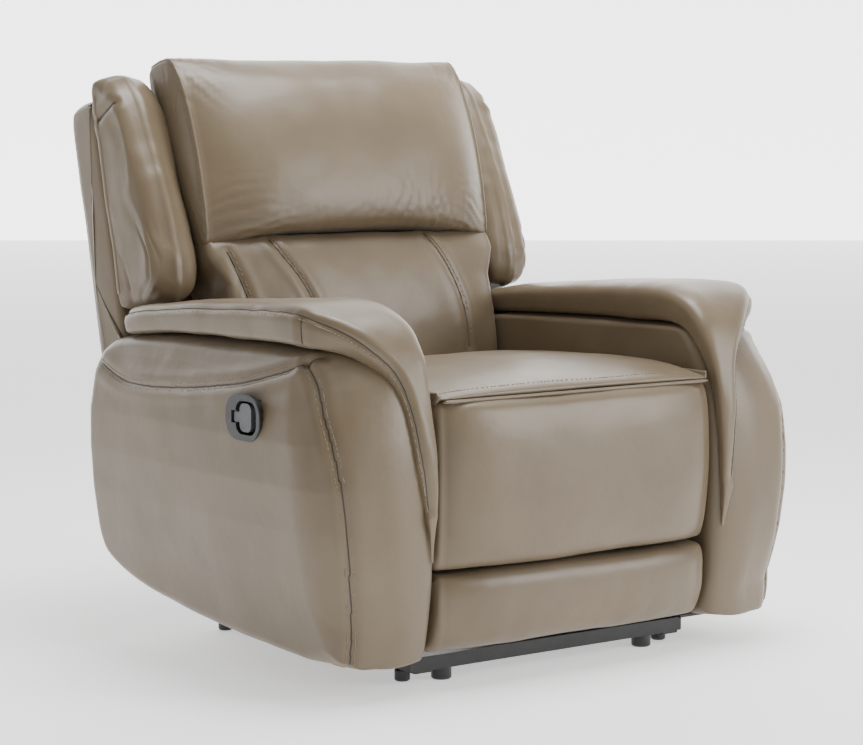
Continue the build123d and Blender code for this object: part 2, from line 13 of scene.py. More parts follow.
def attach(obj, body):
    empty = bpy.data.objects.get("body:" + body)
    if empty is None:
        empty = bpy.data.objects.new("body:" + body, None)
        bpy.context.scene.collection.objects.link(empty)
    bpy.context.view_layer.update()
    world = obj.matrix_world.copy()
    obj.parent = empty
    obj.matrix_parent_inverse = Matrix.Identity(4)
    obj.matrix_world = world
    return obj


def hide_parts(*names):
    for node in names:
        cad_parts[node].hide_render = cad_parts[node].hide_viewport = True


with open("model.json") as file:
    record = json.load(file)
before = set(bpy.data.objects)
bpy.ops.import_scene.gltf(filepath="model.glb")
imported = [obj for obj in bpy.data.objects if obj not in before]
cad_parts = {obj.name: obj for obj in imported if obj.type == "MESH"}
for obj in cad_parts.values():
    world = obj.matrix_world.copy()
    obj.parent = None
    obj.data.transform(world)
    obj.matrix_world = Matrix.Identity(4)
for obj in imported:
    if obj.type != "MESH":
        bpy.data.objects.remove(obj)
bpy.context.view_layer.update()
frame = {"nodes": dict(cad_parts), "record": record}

scene = bpy.context.scene
LEAN = math.radians(13.3)
BACK_ORIGIN = (0.235, 0.500)


# ---------------------------------------------------------------- materials
def srgb(*c):
    """Linear colour of an 8-bit one."""
    return tuple(((v / 255 + 0.055) / 1.055) ** 2.4 if v > 10 else v / 3294.6 for v in c) + (1.0,)


def new_material(name, color, rough, metal=0.0):
    m = bpy.data.materials.new(name)
    m.use_nodes = True
    p = m.node_tree.nodes["Principled BSDF"]
    p.inputs["Base Color"].default_value = color
    p.inputs["Roughness"].default_value = rough
    p.inputs["Metallic"].default_value = metal
    return m, m.node_tree, p


def node(tree, kind, **values):
    n = tree.nodes.new(kind)
    for k, v in values.items():
        if hasattr(n, k):
            setattr(n, k, v)
        else:
            n.inputs[k].default_value = v
    return n


def colour_noise(tree, p, coords, low, high, scale, detail=3.0):
    """Mottles the base colour between two tones."""
    n = node(tree, "ShaderNodeTexNoise", Scale=scale, Detail=detail)
    tree.links.new(coords, n.inputs["Vector"])
    ramp = node(tree, "ShaderNodeValToRGB")
    ramp.color_ramp.elements[0].position = 0.30
    ramp.color_ramp.elements[0].color = low
    ramp.color_ramp.elements[1].position = 0.72
    ramp.color_ramp.elements[1].color = high
    tree.links.new(n.outputs["Fac"], ramp.inputs["Fac"])
    tree.links.new(ramp.outputs["Color"], p.inputs["Base Color"])


def bump(tree, p, coords, layers):
    """Stacks bump layers: (texture kind, scale, distance, strength)."""
    last = None
    for kind, scale, distance, strength in layers:
        t = node(tree, kind, Scale=scale)
        tree.links.new(coords, t.inputs["Vector"])
        b = node(tree, "ShaderNodeBump", Distance=distance, Strength=strength)
        tree.links.new(t.outputs["Distance" if kind == "ShaderNodeTexVoronoi" else "Fac"],
            b.inputs["Height"])
        if last:
            tree.links.new(last.outputs["Normal"], b.inputs["Normal"])
        last = b
    tree.links.new(last.outputs["Normal"], p.inputs["Normal"])


def leather(name, low, high, rough=0.40):
    m, tree, p = new_material(name, high, rough)
    coords = node(tree, "ShaderNodeTexCoord").outputs["Object"]
    colour_noise(tree, p, coords, low, high, 7.0, 5.0)
    p.inputs["Specular IOR Level"].default_value = 0.45
    p.inputs["Coat Weight"].default_value = 0.10
    p.inputs["Coat Roughness"].default_value = 0.32
    p.inputs["Sheen Weight"].default_value = 0.05
    grain = [("ShaderNodeTexVoronoi", 520.0, 0.0005, 0.16), ("ShaderNodeTexNoise", 1500.0, 0.0003, 0.12)]
    bump(tree, p, coords, grain + [("ShaderNodeTexNoise", 34.0, 0.0035, 0.22)])
    return m


def plain(name, low, high, rough, metal=0.0, scale=60.0, relief=0.0002, relief_scale=900.0):
    m, tree, p = new_material(name, high, rough, metal)
    coords = node(tree, "ShaderNodeTexCoord").outputs["Object"]
    colour_noise(tree, p, coords, low, high, scale)
    bump(tree, p, coords, [("ShaderNodeTexNoise", relief_scale, relief, 0.5)])
    return m


def timber():
    m, tree, p = new_material("timber", srgb(190, 150, 105), 0.7)
    coords = node(tree, "ShaderNodeTexCoord").outputs["Object"]
    stretch = node(tree, "ShaderNodeMapping")
    stretch.inputs["Scale"].default_value = (30.0, 3.0, 30.0)
    tree.links.new(coords, stretch.inputs["Vector"])
    colour_noise(tree, p, stretch.outputs["Vector"], srgb(160, 122, 82), srgb(206, 170, 124), 2.0, 8.0)
    bump(tree, p, stretch.outputs["Vector"], [("ShaderNodeTexNoise", 20.0, 0.0005, 0.4)])
    return m


HIDE = leather("leather", srgb(98, 84, 64), srgb(108, 94, 73), 0.39)
WELT = leather("welt_leather", srgb(130, 117, 99), srgb(142, 129, 111), 0.42)
# dark brown laid into the seam grooves: painted shade of the creases, not a leather of its own
SEAM_SHADE = leather("seam_leather", srgb(48, 40, 31), srgb(58, 49, 39), 0.6)
THREAD = plain("thread", srgb(132, 117, 94), srgb(144, 129, 106), 0.6, relief=0.0001)
BLACK_STEEL = plain("black_steel", srgb(20, 20, 21), srgb(30, 30, 31), 0.38)
ZINC = plain("zinc_steel", srgb(165, 166, 168), srgb(190, 191, 193), 0.32, 0.9)
BLACK_PLASTIC = plain("black_plastic", srgb(30, 30, 31), srgb(40, 40, 41), 0.42)
BEZEL_PLASTIC = plain("bezel_plastic", srgb(33, 34, 35), srgb(42, 43, 44), 0.36)
PADDLE_PLASTIC = plain("paddle_plastic", srgb(72, 74, 76), srgb(84, 86, 88), 0.40)
NYLON = plain("nylon", srgb(214, 212, 204), srgb(226, 224, 216), 0.45)
FELT = plain("felt", srgb(120, 120, 120), srgb(160, 160, 158), 0.95, scale=300.0, relief=0.0012,
    relief_scale=400.0)
WEBBING = plain("webbing", srgb(38, 38, 42), srgb(58, 58, 64), 0.8, scale=200.0, relief=0.0008,
    relief_scale=600.0)
DUST_CLOTH = plain("dust_cloth", srgb(24, 24, 24), srgb(38, 38, 38), 0.95, scale=180.0, relief=0.0008)
TIMBER = timber()
CAD_LOOKS = {"leather": HIDE, "steel_black": BLACK_STEEL, "steel_zinc": ZINC, "timber": TIMBER,
             "black_plastic": BLACK_PLASTIC, "grey_plastic": PADDLE_PLASTIC, "nylon": NYLON, "felt": FELT,
             "webbing": WEBBING, "dust_cloth": DUST_CLOTH}
for part in frame["record"]["subparts"]:
    data = frame["nodes"][part["node"]].data
    data.materials.clear()
    is_bezel = part["node"] == "handle_bezel"
    data.materials.append(BEZEL_PLASTIC if is_bezel else CAD_LOOKS[part["material_slot"]])


# ---------------------------------------------------------------- curves and meshes
def smooth_curve(points, count, closed=False):
    """Catmull-Rom curve through points, resampled evenly."""
    p = np.array(points, float)
    if closed:
        q = np.vstack([p[-1], p, p[0], p[1]])
    else:
        q = np.vstack([2 * p[0] - p[1], p, 2 * p[-1] - p[-2]])
    t = np.linspace(0, 1, 24, endpoint=False)[:, None]
    out = []
    for a, b, c, d in zip(q, q[1:], q[2:], q[3:]):
        square = (2 * a - 5 * b + 4 * c - d) * t**2
        cube = (3 * b - a - 3 * c + d) * t**3
        out.append(0.5 * (2 * b + (c - a) * t + square + cube))
    out.append(p[:1] if closed else p[-1:])
    return resample(np.vstack(out), count, closed)


def resample(p, count, closed=False):
    s = np.concatenate([[0], np.cumsum(np.linalg.norm(np.diff(p, axis=0), axis=1))])
    at = np.linspace(0, s[-1], count, endpoint=not closed)
    return np.stack([np.interp(at, s, p[:, k]) for k in range(p.shape[1])], axis=1)


def mesh_object(name, verts, faces, material):
    me = bpy.data.meshes.new(name)
    me.from_pydata([tuple(v) for v in verts], [], faces)
    me.materials.append(material)
    me.update()
    for poly in me.polygons:
        poly.use_smooth = True
    o = bpy.data.objects.new(name, me)
    scene.collection.objects.link(o)
    return o


def rings_object(name, rings, material):
    """Closed skin through a stack of closed rings, whose first and last shrink to points."""
    rings = np.array(rings)
    rows, cols = rings.shape[:2]
    verts = list(rings.reshape(-1, 3)) + [rings[0].mean(0), rings[-1].mean(0)]
    faces = []
    for i in range(rows - 1):
        for j in range(cols):
            k = (j + 1) % cols
            faces.append((i * cols + j, i * cols + k, (i + 1) * cols + k, (i + 1) * cols + j))
    first, last = rows * cols, rows * cols + 1
    for j in range(cols):
        k = (j + 1) % cols
        faces.append((first, k, j))
        faces.append((last, (rows - 1) * cols + j, (rows - 1) * cols + k))
    o = mesh_object(name, verts, faces, material)
    middle = Vector(rings.reshape(-1, 3).mean(0))
    if sum(p.area * p.normal.dot(p.center - middle) for p in o.data.polygons) < 0:
        o.data.flip_normals()
    return o


def get_verts(o):
    co = np.zeros(len(o.data.vertices) * 3)
    o.data.vertices.foreach_get("co", co)
    return co.reshape(-1, 3)


def get_normals(o):
    no = np.zeros(len(o.data.vertices) * 3)
    o.data.vertices.foreach_get("normal", no)
    return no.reshape(-1, 3)


def set_verts(o, co):
    o.data.vertices.foreach_set("co", np.ascontiguousarray(co).reshape(-1))
    o.data.update()


def line_distance(co, line):
    """Distance of each point to a polyline."""
    best = np.full(len(co), 9.0)
    for a, b in zip(line, line[1:]):
        d = b - a
        t = np.clip((co - a) @ d / max(d @ d, 1e-12), 0, 1)
        best = np.minimum(best, np.linalg.norm(co - a - t[:, None] * d, axis=1))
    return best


SEAM_LINES = []


def groove(o, line, depth=0.0030, width=0.0045, swell=0.0022):
    """Presses a seam into the skin, with the leather swelling a little beside it."""
    SEAM_LINES.append((o, np.array(line)))
    co, no = get_verts(o), get_normals(o)
    d = line_distance(co, np.array(line))
    push = swell * np.exp(-(((d - 3.2 * width) / (2 * width)) ** 2)) - depth * np.exp(-((d / width) ** 2))
    set_verts(o, co + no * push[:, None])


def ripple(o, amount, size, seed):
    """Soft uneven swelling of the hide."""
    co, no = get_verts(o), get_normals(o)
    h = np.array([noise.noise(Vector(c) / size + Vector((seed, seed * 1.7, 0))) for c in co])
    fine = np.array([noise.noise(Vector(c) / (0.35 * size) + Vector((0, seed, 3.1))) for c in co])
    set_verts(o, co + no * ((h + 0.35 * fine) * amount)[:, None])


def wrinkles(o, centre, along, reach, depth, pitch, seed):
    """A patch of short creases that run along a direction and fade away from its centre."""
    co, no = get_verts(o), get_normals(o)
    u = np.array(along, float)
    u /= np.linalg.norm(u)
    r = co - np.array(centre)
    lengthwise = r @ u
    across = r - lengthwise[:, None] * u
    side = across @ np.cross(u, [0.25, 0.93, 0.27])
    bend = np.array([noise.noise(Vector(c) * 14 + Vector((seed, 0, 0))) for c in co])
    fade = np.exp(-(np.linalg.norm(r, axis=1) / reach) ** 2)
    wave = np.sin(2 * math.pi * (side / pitch + 1.3 * bend))
    crease = -np.clip(wave, -1, 1) ** 4 * (wave > 0)
    set_verts(o, co + no * (crease * depth * fade)[:, None])


def on_skin(o, points, direction):
    """Drops points onto an object's skin along a direction, and gives (points, normals)."""
    tree = BVHTree.FromObject(o, bpy.context.evaluated_depsgraph_get())
    d = Vector(direction).normalized()
    out, normals = [], []
    for p in points:
        hit, normal, _, _ = tree.ray_cast(Vector(p) - d * 0.4, d)
        if hit is None:
            hit, normal, _, _ = tree.find_nearest(Vector(p))
        out.append(np.array(hit))
        normals.append(np.array(normal))
    return np.array(out), np.array(normals)


def nearest_on(o, points, lift=0.0):
    tree = BVHTree.FromObject(o, bpy.context.evaluated_depsgraph_get())
    hits = [tree.find_nearest(Vector(p)) for p in points]
    return np.array([h[0] + h[1] * lift for h in hits]), np.array([h[1] for h in hits])


STITCH = [(1, 0.0, 0.0), (0.72, 0.8, 0.0), (0.72, 0.0, 0.9), (0.72, -0.8, 0.0), (-0.72, 0.8, 0.0),
    (-0.72, 0.0, 0.9),
          (-0.72, -0.8, 0.0), (-1, 0.0, 0.0)]
STITCH_FACES = [(0, 1, 2), (0, 2, 3), (0, 3, 1), (1, 4, 5, 2), (2, 5, 6, 3), (3, 6, 4, 1), (7, 5, 4),
    (7, 6, 5), (7, 4, 6)]


def stitches(name, lines, pitch=0.0072, length=0.0050, radius=0.0010):
    """Rows of thread stitches. Each line is (points, normals) on a skin."""
    verts, faces = [], []
    for pts, nrm in lines:
        total = np.linalg.norm(np.diff(pts, axis=0), axis=1).sum()
        count = max(int(total / pitch), 2)
        both = resample(np.hstack([pts, nrm]), count * 2 + 1)
        for i in range(1, len(both) - 1, 2):
            c, n = both[i, :3], both[i, 3:]
            d = both[i + 1, :3] - both[i - 1, :3]
            d /= max(np.linalg.norm(d), 1e-9)
            n = n / max(np.linalg.norm(n), 1e-9)
            side = np.cross(n, d)
            base = len(verts)
            verts += [c + d * a * length / 2 + side * b * radius + n * h * radius for a, b, h in STITCH]
            faces += [tuple(base + k for k in f) for f in STITCH_FACES]
    return mesh_object(name, verts, faces, THREAD)


def tube(name, points, radius, material, sides=10):
    """A cord of leather along a line, with its ends drawn in."""
    p = np.array(points)
    d = np.gradient(p, axis=0)
    d /= np.linalg.norm(d, axis=1)[:, None]
    up = np.tile([0.31, 0.17, 0.93], (len(p), 1))
    a = np.cross(d, up)
    a /= np.linalg.norm(a, axis=1)[:, None]
    b = np.cross(d, a)
    ang = np.linspace(0, 2 * math.pi, sides, endpoint=False)
    r = np.full(len(p), radius)
    r[0] = r[-1] = radius * 0.3
    rings = [c + q * (np.cos(ang)[:, None] * u + np.sin(ang)[:, None] * v) for c, q, u,
        v in zip(p, r, a, b)]
    return rings_object(name, rings, material)


def offset_line(pts, nrm, distance):
    """The same line moved sideways over the skin."""
    d = np.gradient(pts, axis=0)
    side = np.cross(nrm, d)
    side /= np.linalg.norm(side, axis=1)[:, None]
    return pts + side * distance


# ---------------------------------------------------------------- cushions
def back_place(x, n, t):
    """A point of the leaning back: n goes backward through it and t up along it."""
    c, s = math.cos(LEAN), math.sin(LEAN)
    return np.stack([x, BACK_ORIGIN[0] + n * c + t * s, BACK_ORIGIN[1] - n * s + t * c], axis=-1)


def plain_place(x, y, z):
    return np.stack([x, y, z], axis=-1)


def inset(sec, amount):
    """Moves a closed section inward."""
    d = np.roll(sec, -1, axis=0) - np.roll(sec, 1, axis=0)
    n = np.stack([-d[:, 1], d[:, 0]], axis=1)
    n /= np.linalg.norm(n, axis=1)[:, None]
    area = 0.5 * np.sum(sec[:, 0] * np.roll(sec[:, 1], -1) - sec[:, 1] * np.roll(sec[:, 0], -1))
    return sec + n * (amount if area > 0 else -amount)


def cushion(name, outline, half, place, shape, around=200, rows=96, edge=0.012, puff=0.006, middle=None):
    """A stuffed form lofted along X. shape(section, share) pulls its face back towards the ends."""
    sec = smooth_curve(outline, around, closed=True)
    rings = []
    middle = sec.mean(0) if middle is None else np.array(middle)

    def ring(x, s):
        return place(np.full(len(s), x), s[:, 0], s[:, 1])

    for sign in (-1, 1):
        for k in range(9):
            q = 0.06 + 0.94 * k / 9
            e = inset(shape(sec, 1.0), edge)
            s = middle + (e - middle) * q
            bulge = puff * (1 - q**2)
            part = ring(sign * (half + bulge), s)
            rings.append((sign, -1, k, part))
        for k in range(7):
            a = math.pi / 2 * k / 7
            s = inset(shape(sec, 1.0), edge * (1 - math.sin(a)))
            rings.append((sign, 0, k, ring(sign * (half - edge * (1 - math.cos(a))), s)))
    left = [r[3] for r in rings if r[0] == -1]
    right = [r[3] for r in rings if r[0] == 1][::-1]
    body = []
    for x in np.linspace(-(half - edge), half - edge, rows):
        body.append(ring(x, shape(sec, abs(x) / (half - edge))))
    return rings_object(name, left + body + right, HIDE)


def finish_piece(o, body, nodes=()):
    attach(o, body)
    if nodes:
        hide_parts(*nodes)
    return o


def front_crown(seam, depth, power):
    """Lets the face ahead of a seam fall back towards the ends."""
    def shape(sec, share):
        s = sec.copy()
        ahead = np.minimum(s[:, 0] - seam, 0)
        s[:, 0] -= ahead * depth * share**power
        return s
    return shape


# head cushion
head_outline = [(0.024, 0.189), (-0.06, 0.188), (-0.108, 0.186), (-0.134, 0.191), (-0.147, 0.214),
    (-0.153, 0.258),
                (-0.152, 0.315), (-0.146, 0.365), (-0.134, 0.415), (-0.114, 0.465), (-0.092, 0.494),
                (-0.066, 0.516),
                (-0.040, 0.525), (-0.005, 0.525), (0.018, 0.518), (0.026, 0.49), (0.026, 0.36)]


def head_shape(sec, share):
    s = sec.copy()
    ahead = np.minimum(s[:, 0] + 0.045, 0)
    s[:, 0] -= ahead * 0.46 * share**5
    low = np.clip((0.24 - s[:, 1]) / 0.045, 0, 1)
    s[:, 1] -= low * 0.016 * share**2
    s[:, 1] += low * 0.006
    return s


head = cushion("head_cushion_leather", head_outline, 0.318, back_place, head_shape, edge=0.010, puff=0.010)
ripple(head, 0.0030, 0.16, 3.0)
for centre, along, reach, depth in [((-0.27, 0.16, 0.73), (1, 0, 0.5), 0.07, 0.0034),
    ((-0.2, 0.13, 0.70), (1, 0, 0.12), 0.06, 0.0022),
                                    ((0.26, 0.16, 0.73), (1, 0, -0.5), 0.07, 0.0030),
                                    ((-0.28, 0.29, 0.97), (1, 0, -0.7), 0.06, 0.0022),
                                    ((0.28, 0.29, 0.97), (1, 0, 0.7), 0.05, 0.0020)]:
    wrinkles(head, centre, along, reach, depth, 0.017, 2.0)

for x, depth in ((-0.09, 0.0012), (0.02, 0.0016), (0.10, 0.0020), (0.16, 0.0024), (0.22, 0.0020)):
    wrinkles(head, (x, 0.12, 0.745), (0.06, 0, 1), 0.055, depth, 0.019, x)

# lumbar cushion
lumbar_outline = [(0.024, -0.112), (-0.045, -0.113), (-0.095, -0.112), (-0.118, -0.100),
    (-0.129, -0.070), (-0.136, -0.02),
                  (-0.139, 0.03), (-0.138, 0.08), (-0.132, 0.13), (-0.122, 0.165), (-0.106, 0.184),
                  (-0.07, 0.190),
                  (0.018, 0.190), (0.025, 0.17), (0.025, 0.03)]


def lumbar_place(x, n, t):
    return back_place(x * (1 + 0.082 * np.clip((t - 0.10) / 0.05, 0, 1)), n, t)


lumbar = cushion("lumbar_cushion_leather", lumbar_outline, 0.293, lumbar_place, front_crown(-0.05, 0.30, 4))
ripple(lumbar, 0.0026, 0.13, 5.0)
lumbar_lines = []
for pts in ([(-0.196, 0.70), (-0.183, 0.675), (-0.160, 0.64), (-0.140, 0.60), (-0.120, 0.55),
    (-0.108, 0.50)],
            [(0.150, 0.70), (0.170, 0.665), (0.190, 0.62), (0.204, 0.57), (0.209, 0.53), (0.210, 0.49)],
            [(-0.285, 0.68), (-0.272, 0.64), (-0.262, 0.60), (-0.258, 0.55)]):
    line = smooth_curve([(x, 0.1, z) for x, z in pts], 60)
    hit, normal = on_skin(lumbar, line, (0, 1, 0))
    groove(lumbar, hit, 0.0026, 0.005)
    hit, normal = nearest_on(lumbar, offset_line(hit, normal, 0.0065), 0.0002)
    lumbar_lines.append((hit, normal))
lumbar_stitch = stitches("lumbar_stitching", lumbar_lines)

# seat cushion
seat_outline = [(-0.354, 0.4685), (-0.44, 0.4688), (-0.4545, 0.4702), (-0.4590, 0.4740),
    (-0.4570, 0.4790), (-0.447, 0.4845),
                (-0.42, 0.4905), (-0.36, 0.4975), (-0.26, 0.5010), (-0.14, 0.5000), (-0.03, 0.4940),
                (0.04, 0.4850), (0.072, 0.474),
                (0.082, 0.455), (0.082, 0.42), (0.078, 0.403), (0.04, 0.400), (-0.15, 0.400),
                (-0.335, 0.400),
                (-0.352, 0.404), (-0.354, 0.43)]


def seat_shape(sec, share):
    s = sec.copy()
    above = np.clip((s[:, 1] - 0.468) / 0.02, 0, 1)
    s[:, 1] -= above * (0.007 * share**4.0)
    return s


seat = cushion("seat_cushion_leather", seat_outline, 0.291, plain_place, seat_shape, around=260,
    edge=0.014, puff=0.002)
ripple(seat, 0.0026, 0.15, 8.0)
line = smooth_curve([(-0.276, -0.437, 0.5), (-0.2, -0.440, 0.5), (0, -0.441, 0.5), (0.2, -0.440, 0.5),
    (0.276, -0.437, 0.5)], 120)
seat_hit, seat_normal = on_skin(seat, line, (0, 0, -1))
seat_stitch = stitches("seat_stitching", [nearest_on(seat, seat_hit, 0.0002)])

# footrest pads
pad_outline = [(-0.374, 0.20), (-0.374, 0.33), (-0.374, 0.455), (-0.380, 0.4660), (-0.43, 0.4675),
    (-0.456, 0.4670), (-0.468, 0.4625),
               (-0.479, 0.449), (-0.488, 0.41), (-0.491, 0.36), (-0.492, 0.31), (-0.488, 0.26),
               (-0.480, 0.222), (-0.468, 0.201),
               (-0.450, 0.194), (-0.41, 0.1935), (-0.380, 0.194)]


def pad_place(x, y, z):
    return plain_place(x * (1 + 0.036 * np.clip((-0.448 - y) / 0.028, 0, 1)), y, z)


footrest_pad = cushion("footrest_pad_leather", pad_outline, 0.293, pad_place,
    front_crown(-0.42, 0.42, 7), edge=0.016, puff=0.001)
ripple(footrest_pad, 0.0030, 0.17, 11.0)
toe_outline = [(-0.374, 0.180), (-0.376, 0.188), (-0.42, 0.1895), (-0.450, 0.188), (-0.466, 0.182),
    (-0.475, 0.166), (-0.477, 0.14),
               (-0.472, 0.105), (-0.458, 0.078), (-0.436, 0.061), (-0.405, 0.0565), (-0.378, 0.058),
               (-0.374, 0.065), (-0.374, 0.12)]
toe_pad = cushion("toe_pad_leather", toe_outline, 0.292, pad_place, front_crown(-0.42, 0.36, 6),
    edge=0.016, puff=0.001)
ripple(toe_pad, 0.0028, 0.12, 13.0)
knee = smooth_curve([(-0.286, -0.461, 0.4680), (0, -0.4615, 0.4680), (0.286, -0.461, 0.4680)], 60)
knee_web = tube("knee_seam", knee, 0.0030, HIDE)

# outer back, one closed shell
shell_outline = [(0.057, 0.050), (0.058, 0.27), (0.059, 0.455), (0.065, 0.470), (0.09, 0.475),
    (0.124, 0.472), (0.141, 0.458),
                 (0.1465, 0.40), (0.148, 0.18), (0.1465, -0.06), (0.143, -0.083), (0.120, -0.086),
                 (0.104, -0.083), (0.102, -0.06),
                 (0.100, -0.01), (0.090, 0.020), (0.068, 0.032)]
shell = cushion("outer_back_leather", shell_outline, 0.421, back_place, lambda s, q: s, edge=0.014,
    puff=0.003, middle=(0.122, 0.15))
ripple(shell, 0.0018, 0.2, 17.0)


# ---------------------------------------------------------------- slabs: arms and wings
def slab(name, outline, centre, inner, outer, place, reach_in, reach_out, cols=300, rings=34):
    """A closed form between an inner and an outer surface over a side outline.
    inner(a, b) and outer(a, b) give X; reach says how far in from the rim each surface takes to level out."""
    rim = smooth_curve(outline, cols, closed=True)
    c = np.array(centre)
    far = np.linalg.norm(rim - c, axis=1)
    stack = []
    shares = np.concatenate([np.linspace(0, 0.35, rings * 2 // 3), np.linspace(0.38, 0.96, rings // 2)])

    def layer(surface, reach, q):
        p = c + (rim - c) * (1 - q)
        d = np.clip(q * far / reach(rim), 0, 1)
        level = surface(p[:, 0], p[:, 1])
        r = reach(rim)
        depth = np.minimum(r, 0.10)
        drop = depth * (1 - np.sqrt(1 - (1 - d) ** 2))
        return p, level, drop

    for q in shares[::-1]:
        p, level, drop = layer(inner, reach_in, q)
        stack.append(place(level + drop, p[:, 0], p[:, 1]))
    p, low, drop_low = layer(inner, reach_in, 0.0)
    p, high, drop_high = layer(outer, reach_out, 0.0)
    for k in np.linspace(0, 1, 9)[1:-1]:
        x = (low + drop_low) * (1 - k) + (high - drop_high) * k
        swell = inset(rim, -0.004 * math.sin(math.pi * k))
        stack.append(place(x, swell[:, 0], swell[:, 1]))
    for q in shares:
        p, level, drop = layer(outer, reach_out, q)
        stack.append(place(level - drop, p[:, 0], p[:, 1]))
    return rings_object(name, stack, HIDE)


BULGE = np.array([(0.03, 0.460), (0.05, 0.465), (0.13, 0.486), (0.20, 0.503), (0.27, 0.515),
    (0.34, 0.521), (0.41, 0.519),
                  (0.46, 0.509), (0.51, 0.492), (0.56, 0.468), (0.60, 0.455)])


def arm_outer(y, z):
    x = np.interp(z, BULGE[:, 0], BULGE[:, 1])
    rear = np.clip((y + 0.30) / 0.60, 0, 1)
    return 0.462 + (x - 0.462) * (1 - 0.30 * rear**2)


arm_outline = [(-0.436, 0.050), (-0.34, 0.0505), (-0.22, 0.057), (-0.10, 0.063), (0.0, 0.075),
    (0.08, 0.088), (0.155, 0.103),
               (0.225, 0.125), (0.266, 0.146), (0.280, 0.165), (0.286, 0.20), (0.289, 0.27),
               (0.291, 0.35), (0.291, 0.42),
               (0.288, 0.47), (0.276, 0.505), (0.252, 0.529), (0.21, 0.5385), (0.12, 0.5475),
               (0.0, 0.552), (-0.15, 0.5545),
               (-0.30, 0.5555), (-0.365, 0.5545), (-0.395, 0.543), (-0.420, 0.515), (-0.443, 0.468),
               (-0.459, 0.41), (-0.468, 0.34),
               (-0.471, 0.26), (-0.469, 0.18), (-0.461, 0.11), (-0.450, 0.06)]


def arm_reach(rim):
    y, z = rim[:, 0], rim[:, 1]
    front = np.clip((-0.33 - y) / 0.09, 0, 1)
    low = np.clip((0.10 - z) / 0.05, 0, 1)
    return 0.026 + front * 0.070 * (1 - 0.55 * low)


def make_arm(side):
    sign = -1 if side == "left" else 1

    def place(x, y, z):
        return np.stack([sign * x, y, z], axis=-1)

    arm = slab(f"arm_leather_{side}", arm_outline, (-0.10, 0.31), lambda y, z: np.full(len(y), 0.3005),
        arm_outer, place,
               lambda r: 0.014 + 0.020 * np.clip((-0.38 - r[:, 0]) / 0.06, 0, 1), arm_reach, cols=420,
                   rings=60)
    ripple(arm, 0.0028, 0.19, 21.0 + sign)
    rows = []
    out = (-sign, 0, 0)
    yoke = smooth_curve([(sign * 0.5, y, z) for y, z in [(0.262, 0.489), (0.192, 0.4695), (0.132,
        0.4635), (0.056, 0.4645), (-0.043, 0.4715),
                                                         (-0.135, 0.4825), (-0.204, 0.4925),
                                                         (-0.293, 0.5135), (-0.352, 0.531)]], 160)
    hit, normal = on_skin(arm, yoke, out)
    groove(arm, hit, 0.0030, 0.0055)
    for d in (0.007, -0.0055):
        rows.append(nearest_on(arm, offset_line(hit, normal, d), 0.0002))
    front = smooth_curve([(sign * x, y, z) for x, y, z in
                          [(0.470, -0.352, 0.531), (0.474, -0.385, 0.498), (0.480, -0.412, 0.452),
                          (0.474, -0.428, 0.400), (0.462, -0.436, 0.320),
                           (0.454, -0.438, 0.228), (0.448, -0.437, 0.132), (0.446, -0.430, 0.062)]], 160)
    hit, normal = nearest_on(arm, front)
    groove(arm, hit, 0.0032, 0.0055)
    for d in (0.0065, -0.0065):
        rows.append(nearest_on(arm, offset_line(hit, normal, d), 0.0002))
    short = smooth_curve([(sign * 0.468, -0.352, 0.531), (sign * 0.463, -0.372, 0.548),
        (sign * 0.455, -0.380, 0.553)], 12)
    hit, normal = nearest_on(arm, short)
    groove(arm, hit, 0.0022, 0.0045)
    thread = stitches(f"arm_stitching_{side}", rows)
    return arm, thread


arms = {side: make_arm(side) for side in ("left", "right")}

# opening of the left arm behind the handle's bezel
left_arm = arms["left"][0]
bm = bmesh.new()
bm.from_mesh(left_arm.data)
HANDLE_CENTRE = (-0.238, 0.440)
HANDLE_HALF = (0.045, 0.033)
ARM_SIDE_X = -0.44


def behind_bezel(face):
    c = face.calc_center_median()
    across = ((c.y - HANDLE_CENTRE[0]) / HANDLE_HALF[0]) ** 2
    upward = ((c.z - HANDLE_CENTRE[1]) / HANDLE_HALF[1]) ** 2
    return c.x < ARM_SIDE_X and across + upward < 1


gone = [f for f in bm.faces if behind_bezel(f)]
bmesh.ops.delete(bm, geom=gone, context="FACES")
bm.to_mesh(left_arm.data)
bm.free()

# arm pads: a padded strip over the top of each arm and down its front, narrowing to a point
PAD_PATH = [(0.236, 0.5360, 0.030, 0.306, 0.452), (0.200, 0.5395, 0.047, 0.304, 0.470),
    (0.12, 0.5480, 0.052, 0.303, 0.477),
            (0.0, 0.5530, 0.058, 0.302, 0.480), (-0.12, 0.5555, 0.064, 0.301, 0.482),
            (-0.24, 0.5565, 0.070, 0.301, 0.484),
            (-0.32, 0.5560, 0.070, 0.301, 0.484), (-0.364, 0.5520, 0.060, 0.301, 0.468),
            (-0.394, 0.5380, 0.046, 0.301, 0.420),
            (-0.420, 0.5080, 0.034, 0.303, 0.376), (-0.440, 0.4660, 0.026, 0.307, 0.356),
            (-0.455, 0.4120, 0.020, 0.309, 0.346),
            (-0.465, 0.3450, 0.015, 0.310, 0.336), (-0.469, 0.2750, 0.011, 0.311, 0.326),
            (-0.467, 0.2150, 0.007, 0.311, 0.318)]


